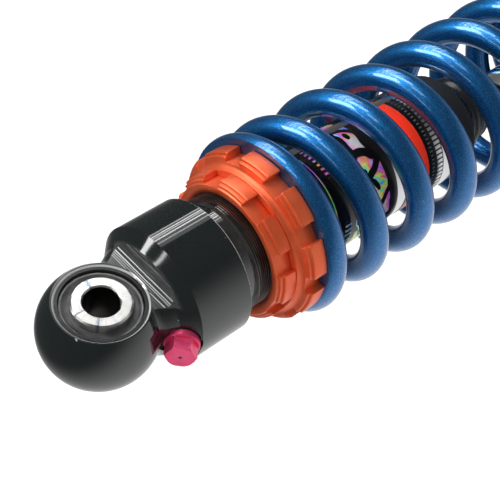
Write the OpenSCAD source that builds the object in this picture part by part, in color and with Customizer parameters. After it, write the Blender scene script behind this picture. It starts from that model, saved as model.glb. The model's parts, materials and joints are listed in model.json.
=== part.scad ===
// Coilover damper: upper eye at the origin, damper axis down -Z, bush bolts along Y.

/* [Overall] */
// Distance between the two eye centres at full extension
eye_to_eye = 250; // [245:1:260]
// Travel of the damper rod
stroke = 45; // [20:1:45]

/* [Eyes and bushes] */
// Radius of the round eye
eye_r = 17.5; // [17:0.5:18]
// Half width of the eye between its milled flats
eye_half_w = 11; // [10:0.5:11]
// Radius of the hole bored through the eye
eye_hole_r = 12.5; // [12:0.1:12.6]
// Radius of the bolt hole in the bush sleeve
bolt_r = 5; // [4:0.5:6]
// Outer radius of the bush sleeve
sleeve_r = 8.5; // [7.5:0.5:9]
// Length of the bush sleeve
sleeve_len = 23; // [22:0.5:26]

/* [Upper cap] */
// Radius of the cap's cylinder
cap_r = 21.2; // [20.5:0.1:21.5]
// Height of the top of the cap's chamfer
cap_shoulder_z = -14.65; // [-14.8:0.05:-14.4]
// Height of the bottom of the cap's chamfer
cap_chamfer_z = -18.85; // [-19.5:0.05:-18.5]
// Height of the cap's lower edge
cap_end_z = -37.35; // [-38:0.05:-37]
// Lean of the gas screw away from the damper axis
screw_lean = 44; // [42:1:46]

/* [Threaded collar] */
// Radius of the plain neck above the thread
neck_r = 16.9; // [16.4:0.1:17]
// Outer radius of the thread
thread_r = 18; // [17.8:0.1:18]
// Thread pitch, which is also the preload travel for each turn
thread_pitch = 0.75; // [0.75:0.25:1]
// Depth of the thread
thread_depth = 0.5; // [0.4:0.1:0.6]
// Height where the thread starts
thread_top_z = -43; // [-43.4:0.1:-42.8]

/* [Rings] */
// Outer radius of the lock ring
lock_r = 23.3; // [22.5:0.1:24]
// Number of teeth on the lock ring
lock_teeth = 8; // [6:1:10]
// Width of the spanner slots in the lock ring
lock_slot_w = 7; // [5:0.5:8]
// Outer radius of the preload ring
preload_r = 27.4; // [26.8:0.1:28]
// Number of teeth on the preload ring
preload_teeth = 10; // [8:1:12]
// Width of the spanner slots in the preload ring
preload_slot_w = 5.9; // [5:0.1:7]

/* [Coil spring] */
// Radius of the spring wire
wire_r = 4.3; // [3.8:0.1:4.4]
// Mean radius of the coils
coil_r = 25.7; // [25.5:0.1:26]
// Pitch of the open coils
coil_pitch = 20.7; // [18:0.1:24]
// Pitch of the closed end coils
dead_pitch = 5.2; // [4.5:0.1:6]

/* [Damper tube and rod] */
// Outer radius of the damper tube
tube_r = 17.5; // [17.3:0.1:17.6]
// Radius of the damper tube's bore
bore_r = 14; // [13.9:0.05:14]
// Radius of the chromed rod
rod_r = 6; // [5.5:0.1:6]
// Height of the seal head's lower face
body_end_z = -140.7; // [-142:0.1:-140]
// Radial clearance of the sliding and turning fits
run_gap = 0.04; // [0.02:0.01:0.08]

/* [Hidden] */
$fn = 72;
eps = 0.01;

// Eyes
shell_wall = 0.9;
rubber_half = 10;
flat_fillet = 3.6;
pass_r = 1.5;
flat_reach = 15.6;
lower_eye_z = -eye_to_eye;

// Cap, collar and tube
cap_top_r = 16.9;
cavity_r = 13;
cavity_top_z = -24;
collar_top_z = -30;
collar_end_z = -74;
spigot_r = 15.4;
spigot_top_z = -35.5;
oring_r = 0.75;
seal_socket_z = body_end_z + 21.7;
head_top_z = body_end_z + 9.7;

// Gas screw, measured along its own axis from the cap's chamfer
screw_x = -17.2;
screw_z = -15;
flange_r = 5.1;
flange_top = 1.3;
flange_bottom = -0.5;
pocket_r = 5.8;
pocket_floor = -1.6;
screw_hole_r = 3;
screw_end = -6.5;
screw_hole_end = -8.2;

// Rings
ring_bore_r = thread_r + 0.05;
lock_top_z = -46.5;
lock_end_z = -52.5;
preload_top_z = -52.6;
preload_end_z = -60.8;

// Spring
seat_gap = 0.1;
spring_top_z = preload_end_z - seat_gap;
seat_z = lower_eye_z + 37;
spring_end_z = seat_z + seat_gap;
tip_inset = 0.7;
tip_angle = 40;
dead_ramp = 0.3;
dead_turns = 0.744;
free_drop = spring_top_z - spring_end_z - 2 * tip_inset;
turns = (free_drop + 2 * (coil_pitch - dead_pitch) * dead_turns) / coil_pitch;
ring_steps = 20;
wire_sides = 10;

// Piston stack, from the rod's shoulder upwards
rod_shoulder_z = seal_socket_z + 4;
piston_z = rod_shoulder_z + 2.4;
piston_len = 11;
shims_z = piston_z + piston_len;
nut_z = shims_z + 1.4;
stud_r = 4;
piston_r = bore_r - 0.5;
band_z = piston_z + 2;
band_h = 7;
band_groove_r = bore_r - 1.6;

// Floating piston
float_z = -55;
float_h = 8;

// Rod's lower end
thread_end_r = 5;
eye_top_z = lower_eye_z + 30;

function ease(t) = t < 0 ? 0 : t < dead_ramp ? t * t / (2 * dead_ramp) : t - dead_ramp / 2;
function open_turns(t) =
    ease(t - dead_turns + dead_ramp / 2) - ease(t - turns + dead_turns + dead_ramp / 2);
function coil_z(t) =
    spring_top_z - tip_inset - dead_pitch * t - (coil_pitch - dead_pitch) * open_turns(t);

// A closed ring turned about Z, from its inner and outer radius and its two heights
module ring(r_in, r_out, z_low, z_high) {
    translate([0, 0, z_low])
        difference() {
            cylinder(r = r_out, h = z_high - z_low);
            translate([0, 0, -eps]) cylinder(r = r_in, h = z_high - z_low + 2 * eps);
        }
}

// Turns its children so that their axis lies along Y, at height z
module along_y(z = 0) {
    translate([0, 0, z]) rotate([90, 0, 0]) children();
}

// Places its children on the gas screw's axis, with the chamfer's face at zero
module on_screw_axis() {
    translate([screw_x, 0, screw_z]) rotate([0, -screw_lean, 0]) children();
}

// The rounded eye between its flats, with the hole and its chamfered rims
module eye_hole(z) {
    rim = 0.8;
    along_y(z) {
        translate([0, 0, -eye_half_w - 1]) cylinder(r = eye_hole_r, h = 2 * eye_half_w + 2);
        for (side = [0, 1])
            mirror([0, 0, side])
                translate([0, 0, eye_half_w - rim])
                    cylinder(r1 = eye_hole_r, r2 = eye_hole_r + rim + 0.1, h = rim + 0.1);
    }
}

// Milled flats beside an eye, run out to a floor by round cutter passes; up is 1 or -1
module flat_cutters(z, reach, up) {
    length = 80;
    swing = flat_fillet - pass_r;
    translate([0, 0, z])
        mirror([0, 0, up > 0 ? 0 : 1])
            for (side = [0, 1])
                mirror([0, side, 0]) {
                    translate([-length / 2, eye_half_w, flat_fillet - reach])
                        cube([length, 30, reach + 30]);
                    translate([-length / 2, eye_half_w + flat_fillet, -reach])
                        cube([length, 30, reach + 30]);
                    translate([-length / 2, eye_half_w + flat_fillet, flat_fillet - reach])
                        rotate([0, 90, 0]) cylinder(r = swing, h = length);
                    for (a = [0 : 30 : 90])
                        translate([
                            -length / 2,
                            eye_half_w + flat_fillet - swing * cos(a),
                            flat_fillet - reach - swing * sin(a)
                        ])
                            rotate([0, 90, 0]) cylinder(r = pass_r, h = length);
                }
}

module eye_cap() {
    color("#15181a")
        difference() {
            union() {
                intersection() {
                    sphere(r = eye_r);
                    cube([2 * eye_r, 2 * eye_half_w, 2 * eye_r], center = true);
                }
                rotate_extrude()
                    polygon([
                        [0, -9], [15, -9], [14.9, -9.8], [15, -10.6], [15.3, -11.4],
                        [15.7, -12.2], [16.1, -13], [16.5, -13.8], [cap_top_r, cap_shoulder_z],
                        [cap_r, cap_chamfer_z],
                        [cap_r, cap_end_z + 0.4], [cap_r - 0.4, cap_end_z], [0, cap_end_z]
                    ]);
            }
            eye_hole(0);
            flat_cutters(0, flat_reach, 1);
            translate([0, 0, cap_end_z - eps])
                cylinder(r = neck_r, h = collar_top_z - cap_end_z + eps);
            translate([0, 0, collar_top_z - eps])
                cylinder(r = cavity_r, h = cavity_top_z - collar_top_z + eps);
            ring(14.5 - 0.6, 14.5 + 0.6, collar_top_z - eps, collar_top_z + 1.2);
            on_screw_axis() {
                translate([0, 0, pocket_floor]) cylinder(r = pocket_r, h = 8);
                translate([0, 0, screw_hole_end]) cylinder(r = screw_hole_r, h = 8);
                translate([0, 0, -14]) cylinder(r = 1.25, h = 8);
            }
        }
}

module bush_shell(z) {
    color("#101214")
        along_y(z) ring(eye_hole_r - shell_wall, eye_hole_r, 0.4 - eye_half_w, eye_half_w - 0.4);
}

module bush_rubber(z) {
    outer = eye_hole_r - shell_wall;
    inner = sleeve_r + run_gap / 2;
    color("#2b2b2c")
        along_y(z)
            rotate_extrude()
                polygon([
                    [inner, 0.3 - rubber_half], [outer - 0.7, -rubber_half],
                    [outer, 1 - rubber_half], [outer, rubber_half - 1],
                    [outer - 0.7, rubber_half], [inner, rubber_half - 0.3]
                ]);
}

module bush_sleeve(z) {
    rim = 0.5;
    half = sleeve_len / 2;
    color("#c9cbcc")
        along_y(z)
            rotate_extrude()
                polygon([
                    [bolt_r, rim - half], [bolt_r + rim, -half], [sleeve_r - rim, -half],
                    [sleeve_r, rim - half], [sleeve_r, half - rim], [sleeve_r - rim, half],
                    [bolt_r + rim, half], [bolt_r, half - rim]
                ]);
}

module upper_bush_shell() { bush_shell(0); }
module upper_bush_rubber() { bush_rubber(0); }
module upper_bush_sleeve() { bush_sleeve(0); }

module gas_screw() {
    hex_r = 4.62;
    head_top = 5.3;
    color("#d2456e")
        on_screw_axis()
            difference() {
                union() {
                    translate([0, 0, flange_bottom])
                        cylinder(r = flange_r, h = flange_top - flange_bottom - 0.3);
                    translate([0, 0, flange_top - 0.3])
                        cylinder(r1 = flange_r, r2 = flange_r - 0.3, h = 0.3);
                    intersection() {
                        cylinder(r = hex_r, h = head_top, $fn = 6);
                        translate([0, 0, -1]) cylinder(r1 = hex_r + 6, r2 = hex_r - 0.5, h = head_top + 1);
                    }
                    translate([0, 0, screw_end]) cylinder(r = screw_hole_r, h = 7);
                }
                translate([0, 0, head_top - 0.8]) cylinder(r = 0.55, h = 1);
            }
}

module gas_screw_seal() {
    color("#1c1c1c") on_screw_axis() ring(screw_hole_r, flange_r, pocket_floor, flange_bottom);
}

module gas_valve_plug() {
    color("#333333")
        on_screw_axis() translate([0, 0, screw_hole_end]) cylinder(r = screw_hole_r, h = 1.7);
}

module cap_seal() {
    color("#1c1c1c") rotate_extrude() translate([14.5, collar_top_z + 0.6]) circle(r = 0.6);
}

module threaded_collar() {
    count = floor((thread_top_z - collar_end_z - 1) / thread_pitch);
    color("#111315")
        rotate_extrude()
            polygon([
                [cavity_r, collar_top_z], [neck_r, collar_top_z], [neck_r, thread_top_z + 0.6],
                for (i = [0 : count - 1], step = [0 : 2])
                    let (z = thread_top_z - i * thread_pitch)
                    step == 0 ? [thread_r, z] :
                    step == 1 ? [thread_r, z - 0.3 * thread_pitch] :
                    [thread_r - thread_depth, z - 0.65 * thread_pitch],
                [thread_r - 0.3, collar_end_z + 0.5], [thread_r - 0.3, collar_end_z],
                [spigot_r, collar_end_z], [spigot_r, collar_top_z - 4], [cavity_r, collar_top_z - 4]
            ]);
}

module tube_seal() {
    color("#1c1c1c")
        rotate_extrude() translate([14.65, spigot_top_z + oring_r]) circle(r = oring_r);
}

module damper_tube() {
    color("#cfd2d4")
        rotate_extrude()
            polygon([
                [bore_r, spigot_top_z], [spigot_r, spigot_top_z], [spigot_r, collar_end_z],
                [tube_r - 0.3, collar_end_z], [tube_r, collar_end_z - 0.3], [tube_r, head_top_z],
                [spigot_r, head_top_z], [spigot_r, seal_socket_z], [bore_r, seal_socket_z]
            ]);
}

// A thin wrapped label, open by a narrow gap where its two ends meet
module label(z_high, z_low) {
    foil = 0.1;
    gap = 14;
    seam = -60;
    rotate([0, 0, seam + gap / 2])
        rotate_extrude(angle = 360 - gap)
            translate([tube_r, z_low]) square([foil, z_high - z_low]);
}

module main_label() {
    color("#1a1c20") label(-75.3, -102.2);
}

module data_label() {
    color("#c41e1e") label(-106.5, -124);
}

// Cuts evenly spaced spanner slots down to a round floor
module spanner_slots(teeth, slot_w, floor_r, z_low, z_high, first_tooth) {
    for (i = [0 : teeth - 1])
        rotate([0, 0, first_tooth + (i + 0.5) * 360 / teeth])
            difference() {
                translate([floor_r - 2, -slot_w / 2, z_low]) cube([12, slot_w, z_high - z_low]);
                translate([0, 0, z_low - 1]) cylinder(r = floor_r, h = z_high - z_low + 2);
            }
}

module lock_ring() {
    color("#e26a3c")
        difference() {
            rotate_extrude()
                polygon([
                    [ring_bore_r, lock_top_z - 1.1], [19.6, lock_top_z], [21.2, lock_top_z],
                    [21.5, lock_top_z - 0.5], [lock_r - 1.1, lock_top_z - 0.5],
                    [lock_r - 0.9, lock_top_z - 0.7], [lock_r - 0.9, lock_top_z - 1.5],
                    [lock_r - 0.3, lock_top_z - 1.5], [lock_r, lock_top_z - 1.8],
                    [lock_r, lock_end_z + 0.3], [lock_r - 0.3, lock_end_z],
                    [ring_bore_r + 0.8, lock_end_z], [ring_bore_r, lock_end_z + 0.8]
                ]);
            spanner_slots(lock_teeth, lock_slot_w, 21, lock_end_z - 1, lock_top_z + 1, -127.7);
        }
}

module preload_ring() {
    lip_z = preload_top_z - 2;
    land_z = lip_z - 1;
    flare_r = 1.7;
    boss_r = coil_r - wire_r - 0.5;
    color("#e26a3c")
        difference() {
            rotate_extrude()
                polygon([
                    [ring_bore_r + 0.8, preload_top_z], [23.1, preload_top_z],
                    [23.3, preload_top_z - 0.2],
                    for (a = [0 : 15 : 90])
                        [23.3 + flare_r * (1 - cos(a)), preload_top_z - 0.3 - flare_r * sin(a)],
                    [preload_r - 1.2, lip_z], [preload_r - 1, lip_z - 0.2], [preload_r - 1, land_z],
                    [preload_r - 0.3, land_z], [preload_r, land_z - 0.3],
                    [preload_r, preload_end_z + 0.3], [preload_r - 0.3, preload_end_z],
                    [boss_r, preload_end_z], [boss_r, preload_end_z - 3.5],
                    [boss_r - 0.8, preload_end_z - 4.3], [ring_bore_r + 0.8, preload_end_z - 4.3],
                    [ring_bore_r, preload_end_z - 3.5], [ring_bore_r, preload_top_z - 0.8]
                ]);
            spanner_slots(preload_teeth, preload_slot_w, 24.7, preload_end_z - 1, lip_z + 0.6, -118.6);
        }
}

// The wire is swept down a helix whose end coils close up and are ground flat
module coil_spring() {
    steps = ceil(turns * ring_steps);
    points = [
        for (i = [0 : steps], k = [0 : wire_sides - 1])
            let (
                t = turns * i / steps,
                around = tip_angle - 360 * t,
                r = coil_r + wire_r * cos(360 * k / wire_sides)
            )
            [r * cos(around), r * sin(around), coil_z(t) + wire_r * sin(360 * k / wire_sides)]
    ];
    skin = [
        for (i = [0 : steps - 1], k = [0 : wire_sides - 1])
            let (a = i * wire_sides + k, b = i * wire_sides + (k + 1) % wire_sides)
            [a, b, b + wire_sides, a + wire_sides]
    ];
    first_cap = [for (k = [wire_sides - 1 : -1 : 0]) k];
    last_cap = [for (k = [0 : wire_sides - 1]) steps * wire_sides + k];
    color("#1d6fb8")
        intersection() {
            polyhedron(points = points, faces = concat([first_cap, last_cap], skin));
            translate([0, 0, spring_end_z])
                cylinder(r = coil_r + wire_r + 1, h = spring_top_z - spring_end_z);
        }
}

module floating_piston() {
    r = bore_r - run_gap;
    seal_z = float_z + float_h / 2;
    color("#b9bdc0")
        rotate_extrude()
            polygon([
                [0, float_z], [r - 0.5, float_z], [r, float_z + 0.5], [r, seal_z - 1.1],
                [r - 1.6, seal_z - 1.1], [r - 1.6, seal_z + 1.1], [r, seal_z + 1.1],
                [r, float_z + float_h - 0.5], [r - 0.5, float_z + float_h],
                [9, float_z + float_h], [8, float_z + 3], [0, float_z + 3]
            ]);
}

module floating_piston_seal() {
    r = bore_r - run_gap;
    color("#1c1c1c") ring(r - 1.6, r, float_z + float_h / 2 - 1.1, float_z + float_h / 2 + 1.1);
}

module piston() {
    ports = 6;
    color("#b08d57")
        difference() {
            rotate_extrude()
                polygon([
                    [stud_r, piston_z], [piston_r - 0.5, piston_z], [piston_r, piston_z + 0.5],
                    [piston_r, band_z], [band_groove_r, band_z], [band_groove_r, band_z + band_h],
                    [piston_r, band_z + band_h], [piston_r, piston_z + piston_len - 0.5],
                    [piston_r - 0.5, piston_z + piston_len], [stud_r, piston_z + piston_len]
                ]);
            for (i = [0 : ports - 1])
                rotate([0, 0, i * 360 / ports])
                    translate([8.6, 0, piston_z - 1]) cylinder(r = 1.5, h = piston_len + 2);
        }
}

module piston_band() {
    color("#4a3b2c")
        ring(band_groove_r + run_gap, bore_r - run_gap, band_z + run_gap, band_z + band_h - run_gap);
}

// A stack of valve shims, widest against the piston; up is 1 or -1
module shim_stack(z, up, widest) {
    shims = 5;
    thick = 0.28;
    for (i = [0 : shims - 1])
        translate([0, 0, z + up * thick * (i + 0.5) - thick / 2])
            difference() {
                cylinder(r = widest - 0.9 * i, h = thick);
                translate([0, 0, -eps]) cylinder(r = stud_r, h = thick + 2 * eps);
            }
}

module compression_shims() {
    color("#9aa0a5") shim_stack(shims_z, 1, 11);
}

module rebound_shims() {
    color("#9aa0a5") {
        shim_stack(piston_z, -1, 10.4);
        ring(stud_r, 7.5, rod_shoulder_z, piston_z - 1.4);
    }
}

module piston_nut() {
    color("#8d9296")
        difference() {
            translate([0, 0, nut_z]) cylinder(r = 6.93, h = 5, $fn = 6);
            translate([0, 0, nut_z - 1]) cylinder(r = stud_r, h = 7);
        }
}

module top_out_bumper() {
    color("#d8b13a") ring(rod_r, 10, rod_shoulder_z - 3.4, rod_shoulder_z);
}

module damper_rod() {
    color("#e4e6e8")
        rotate_extrude()
            polygon([
                [0, nut_z + 5.4], [stud_r - 0.4, nut_z + 5.4], [stud_r, nut_z + 5],
                [stud_r, rod_shoulder_z], [rod_r, rod_shoulder_z], [rod_r, seat_z + 0.4],
                [rod_r - 0.4, seat_z], [thread_end_r, seat_z], [thread_end_r, eye_top_z - 13],
                [thread_end_r - 0.5, eye_top_z - 13.5], [0, eye_top_z - 13.5]
            ]);
}

module seal_head() {
    groove_z = head_top_z + 5;
    color("#26282a")
        rotate_extrude()
            polygon([
                [7.5, seal_socket_z], [spigot_r, seal_socket_z], [spigot_r, groove_z + 2.2],
                [spigot_r - 1.5, groove_z + 2.2], [spigot_r - 1.5, groove_z],
                [spigot_r, groove_z], [spigot_r, head_top_z], [tube_r, head_top_z],
                [tube_r, body_end_z + 1], [tube_r - 1, body_end_z], [9.5, body_end_z],
                [9.5, body_end_z + 0.4], [10.3, body_end_z + 0.4], [10.3, body_end_z + 1.4],
                [9.5, body_end_z + 1.4], [9.5, body_end_z + 4], [11, body_end_z + 4],
                [11, body_end_z + 10], [rod_r + 0.4, body_end_z + 10],
                [rod_r + 0.4, body_end_z + 11], [7.5, body_end_z + 11]
            ]);
}

module seal_head_oring() {
    color("#1c1c1c") ring(spigot_r - 1.5, spigot_r, head_top_z + 5, head_top_z + 7.2);
}

module rod_bushing() {
    color("#a8843f") ring(rod_r + run_gap, 7.5, body_end_z + 11, seal_socket_z - 0.3);
}

module oil_seal() {
    color("#22314a")
        rotate_extrude()
            polygon([
                [rod_r + run_gap, body_end_z + 7], [rod_r + 0.9, body_end_z + 5.6],
                [rod_r + 2, body_end_z + 4], [11, body_end_z + 4], [11, body_end_z + 10],
                [rod_r + 1.6, body_end_z + 10], [rod_r + run_gap, body_end_z + 8.4]
            ]);
}

module wiper_seal() {
    color("#202020")
        rotate_extrude()
            polygon([
                [rod_r + run_gap, body_end_z + 1], [rod_r + 0.6, body_end_z + 1],
                [7.6, body_end_z + 1.4], [9.5, body_end_z + 1.4], [9.5, body_end_z + 4],
                [7.2, body_end_z + 4], [rod_r + run_gap, body_end_z + 1.6]
            ]);
}

module wiper_circlip() {
    opening = 24;
    color("#70757a")
        rotate([0, 0, opening / 2])
            rotate_extrude(angle = 360 - opening)
                translate([8.3, body_end_z + 0.4]) square([2, 1]);
}

// The stop clips up against the seal head and the rod slides through it
module bump_stop() {
    top_z = body_end_z;
    color("#17191b")
        rotate_extrude()
            polygon([
                [rod_r + 0.6, top_z], [12.4, top_z], [13, top_z - 0.6], [13, top_z - 4],
                [12.2, top_z - 5.4], [12, top_z - 6], [12.2, top_z - 6.6], [12.8, top_z - 8],
                [12.6, top_z - 9.4], [11.4, top_z - 11], [11.2, top_z - 11.6],
                [11.4, top_z - 12.2], [11.6, top_z - 13.6], [10.6, top_z - 15.6],
                [9, top_z - 16.3], [rod_r + 0.6, top_z - 16.3]
            ]);
}

module lower_seat() {
    plate = 7;
    slot_w = 2 * rod_r + 0.6;
    boss_r = coil_r - wire_r - 0.5;
    color("#17191b")
        difference() {
            rotate_extrude()
                polygon([
                    [10.3, seat_z + 4], [boss_r - 0.8, seat_z + 4], [boss_r, seat_z + 3.2],
                    [boss_r, seat_z], [30.2, seat_z], [30.7, seat_z - 0.5],
                    [30.7, seat_z - plate + 2], [28.7, seat_z - plate], [10.3, seat_z - plate]
                ]);
            translate([0, -slot_w / 2, seat_z - plate - 1]) cube([40, slot_w, plate + 6]);
        }
}

module jam_nut() {
    color("#8d9296")
        difference() {
            intersection() {
                translate([0, 0, eye_top_z]) cylinder(r = 9.81, h = 7, $fn = 6);
                translate([0, 0, eye_top_z - 6]) cylinder(r1 = 16, r2 = 9, h = 13);
            }
            translate([0, 0, eye_top_z - 1]) cylinder(r = thread_end_r, h = 9);
        }
}

module lower_eye() {
    neck = 11.5;
    color("#15181a")
        difference() {
            union() {
                translate([0, 0, lower_eye_z])
                    intersection() {
                        sphere(r = eye_r);
                        cube([2 * eye_r, 2 * eye_half_w, 2 * eye_r], center = true);
                    }
                rotate_extrude()
                    polygon([
                        [0, eye_top_z], [16.5, eye_top_z], [17, eye_top_z - 0.5],
                        [17, eye_top_z - 3], [neck + 2, eye_top_z - 5.4], [neck, eye_top_z - 8],
                        [neck, eye_top_z - 17], [0, eye_top_z - 17]
                    ]);
            }
            eye_hole(lower_eye_z);
            flat_cutters(lower_eye_z, flat_reach + 4, -1);
            translate([0, 0, eye_top_z - 14]) cylinder(r = thread_end_r, h = 15);
        }
}

module lower_bush_shell() { bush_shell(lower_eye_z); }
module lower_bush_rubber() { bush_rubber(lower_eye_z); }
module lower_bush_sleeve() { bush_sleeve(lower_eye_z); }

eye_cap();
upper_bush_shell();
upper_bush_rubber();
upper_bush_sleeve();
gas_screw();
gas_screw_seal();
gas_valve_plug();
cap_seal();
threaded_collar();
tube_seal();
damper_tube();
main_label();
data_label();
lock_ring();
preload_ring();
coil_spring();
floating_piston();
floating_piston_seal();
piston();
piston_band();
compression_shims();
rebound_shims();
piston_nut();
top_out_bumper();
damper_rod();
seal_head();
seal_head_oring();
rod_bushing();
oil_seal();
wiper_seal();
wiper_circlip();
bump_stop();
lower_seat();
jam_nut();
lower_eye();
lower_bush_shell();
lower_bush_rubber();
lower_bush_sleeve();
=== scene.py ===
import bpy, json, math
from mathutils import Matrix, Vector

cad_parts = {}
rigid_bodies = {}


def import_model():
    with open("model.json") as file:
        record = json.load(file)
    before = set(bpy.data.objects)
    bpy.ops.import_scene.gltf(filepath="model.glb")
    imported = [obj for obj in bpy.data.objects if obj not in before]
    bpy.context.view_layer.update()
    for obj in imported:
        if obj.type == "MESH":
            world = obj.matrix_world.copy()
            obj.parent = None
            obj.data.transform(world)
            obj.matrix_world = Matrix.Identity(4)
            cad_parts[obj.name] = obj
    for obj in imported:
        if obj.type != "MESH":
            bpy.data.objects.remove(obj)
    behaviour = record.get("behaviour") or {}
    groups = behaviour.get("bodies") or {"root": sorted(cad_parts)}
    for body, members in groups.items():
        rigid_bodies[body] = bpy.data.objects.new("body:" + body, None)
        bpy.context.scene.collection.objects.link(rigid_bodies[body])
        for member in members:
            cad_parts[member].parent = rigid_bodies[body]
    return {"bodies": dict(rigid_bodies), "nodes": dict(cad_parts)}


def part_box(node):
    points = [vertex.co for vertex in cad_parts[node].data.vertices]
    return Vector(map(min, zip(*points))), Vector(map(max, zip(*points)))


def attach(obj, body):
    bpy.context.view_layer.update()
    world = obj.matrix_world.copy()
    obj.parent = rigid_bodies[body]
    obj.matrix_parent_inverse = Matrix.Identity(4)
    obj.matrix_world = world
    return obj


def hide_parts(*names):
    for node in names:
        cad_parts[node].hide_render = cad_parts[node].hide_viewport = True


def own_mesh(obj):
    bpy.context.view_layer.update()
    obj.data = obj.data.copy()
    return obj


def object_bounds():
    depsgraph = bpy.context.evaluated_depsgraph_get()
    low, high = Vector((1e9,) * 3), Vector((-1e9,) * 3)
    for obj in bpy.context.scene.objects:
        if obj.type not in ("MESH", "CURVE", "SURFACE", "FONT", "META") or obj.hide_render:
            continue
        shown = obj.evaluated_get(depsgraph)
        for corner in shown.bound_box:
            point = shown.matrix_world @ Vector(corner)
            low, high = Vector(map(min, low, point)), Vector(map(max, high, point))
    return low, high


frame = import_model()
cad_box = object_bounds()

# ---- Eye cap ---------------------------------------------------------------
# The damper's top end, turned from aluminium bar, with a ball-shaped eye and a
# flat milled beside it in four passes of a round cutter. It is black anodised.
# The bore's rim is cut bare and painted paler still as a highlight, and a pale
# painted highlight runs round the lower edge.
eye_half_width = 0.011
eye_hole = 0.0125
rim_width = 0.0006
rim_depth = 0.00085
flat_bottom, flat_top = -0.0155, -0.0095
edge_highlight_below = -0.03692
slack = 0.0001


def feed(target, socket, value):
    """Sets a shader socket to a plain value, or links it to a (node, output) pair."""
    if isinstance(value, tuple) and isinstance(value[0], bpy.types.Node):
        tree = target.id_data
        tree.links.new(value[0].outputs[value[1]], target.inputs[socket])
    else:
        target.inputs[socket].default_value = value


def put(tree, kind, sockets=None, **settings):
    """Adds a shader node with its settings and its sockets."""
    made = tree.nodes.new("ShaderNode" + kind)
    for name, value in settings.items():
        setattr(made, name, value)
    for name, value in (sockets or {}).items():
        feed(made, name, value)
    return made


def maths(tree, operation, *values):
    """The result of a Math node on numbers or (node, output) pairs."""
    return put(tree, "Math", dict(enumerate(values)), operation=operation), 0


def grade(tree, value, start, end):
    """Runs from 0 where the value is start to 1 where it is end."""
    return put(tree, "MapRange", {"Value": value, "From Min": start, "From Max": end}), 0


def between(tree, value, low, high, soft):
    """A mask that is 1 where the value lies between low and high, with soft edges."""
    up = grade(tree, value, low - soft, low + soft)
    down = grade(tree, value, high + soft, high - soft)
    return maths(tree, "MULTIPLY", up, down)


def scaled(tree, value, low, high):
    """Stretches a 0 to 1 value to run from low to high."""
    return put(tree, "MapRange", {"Value": value, "To Min": low, "To Max": high}), 0


def tint(tree, share, first, second):
    """A colour between two, each a plain colour or a (node, output) pair."""
    colours = [c if isinstance(c[0], bpy.types.Node) else (*c, 1) for c in (first, second)]
    return put(tree, "Mix", {0: share, 6: colours[0], 7: colours[1]}, data_type="RGBA"), 2


def finish(name, colour, metallic, roughness, **sockets):
    """Starts a material; gives it with its tree, its shader and its Object coordinates."""
    material = bpy.data.materials.new(name)
    material.use_nodes = True
    tree = material.node_tree
    shader = tree.nodes["Principled BSDF"]
    feed(shader, "Base Color", (*colour, 1))
    feed(shader, "Metallic", metallic)
    feed(shader, "Roughness", roughness)
    for socket, value in sockets.items():
        feed(shader, socket.replace("_", " "), value)
    return material, tree, shader, (put(tree, "TexCoord"), "Object")


def split(tree, where):
    """The X, Y and Z of a place."""
    apart = put(tree, "SeparateXYZ", {0: where})
    return (apart, "X"), (apart, "Y"), (apart, "Z")


def new_group(name, inputs, outputs):
    """An empty shader group; inputs give each socket's type and starting value."""
    group = bpy.data.node_groups.new(name, "ShaderNodeTree")
    for socket, (kind, value) in inputs.items():
        made = group.interface.new_socket(
            socket, in_out="INPUT", socket_type="NodeSocket" + kind
        )
        made.default_value = value
    for socket, kind in outputs.items():
        group.interface.new_socket(socket, in_out="OUTPUT", socket_type="NodeSocket" + kind)
    return group, group.nodes.new("NodeGroupInput"), group.nodes.new("NodeGroupOutput")


def use(tree, group, **sockets):
    """Places a group in a material with that material's own values, and gives its output."""
    values = {socket.replace("_", " "): value for socket, value in sockets.items()}
    return put(tree, "Group", values, node_tree=group), 0


# Tool marks: the fine rings that a lathe tool leaves, read along the feed.
tool_marks, inside, outside = new_group(
    "tool_marks",
    {"Feed": ("Float", 0.0), "Rings per metre": ("Float", 4000.0)},
    {"Height": "Float"},
)
feed_place = maths(tool_marks, "MULTIPLY", (inside, "Feed"), (inside, "Rings per metre"))
rings = put(
    tool_marks, "TexNoise", {"W": feed_place, "Scale": 1.0, "Detail": 3.0},
    noise_dimensions="1D",
)
feed(outside, 0, (rings, 0))

# Handling marks: soft smudges, with a few finer rubs over them.
handling, inside, outside = new_group(
    "handling_marks",
    {
        "Vector": ("Vector", (0, 0, 0)),
        "Size": ("Float", 70.0),
        "Fine rubs": ("Float", 0.12),
    },
    {"Mask": "Float"},
)
smudge = put(handling, "TexNoise", {
    "Vector": (inside, "Vector"), "Scale": (inside, "Size"), "Detail": 2.0,
})
rub_size = maths(handling, "MULTIPLY", (inside, "Size"), 9.0)
rub = put(handling, "TexNoise", {
    "Vector": (inside, "Vector"), "Scale": rub_size, "Detail": 1.0,
})
both = maths(handling, "MULTIPLY_ADD", (rub, 0), (inside, "Fine rubs"), (smudge, 0))
feed(outside, 0, grade(handling, both, 0.4, 0.78))

# Dust: sparse specks of lint and swarf.
dust, inside, outside = new_group(
    "dust_specks",
    {
        "Vector": ("Vector", (0, 0, 0)),
        "Specks per metre": ("Float", 260.0),
        "Share": ("Float", 0.2),
    },
    {"Mask": "Float"},
)
cells = put(dust, "TexVoronoi", {
    "Vector": (inside, "Vector"), "Scale": (inside, "Specks per metre"),
})
near = grade(dust, (cells, "Distance"), 0.07, 0.03)
lot = put(dust, "SeparateColor", {0: (cells, "Color")})
chosen = maths(dust, "LESS_THAN", (lot, 0), (inside, "Share"))
feed(outside, 0, maths(dust, "MULTIPLY", near, chosen))


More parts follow.
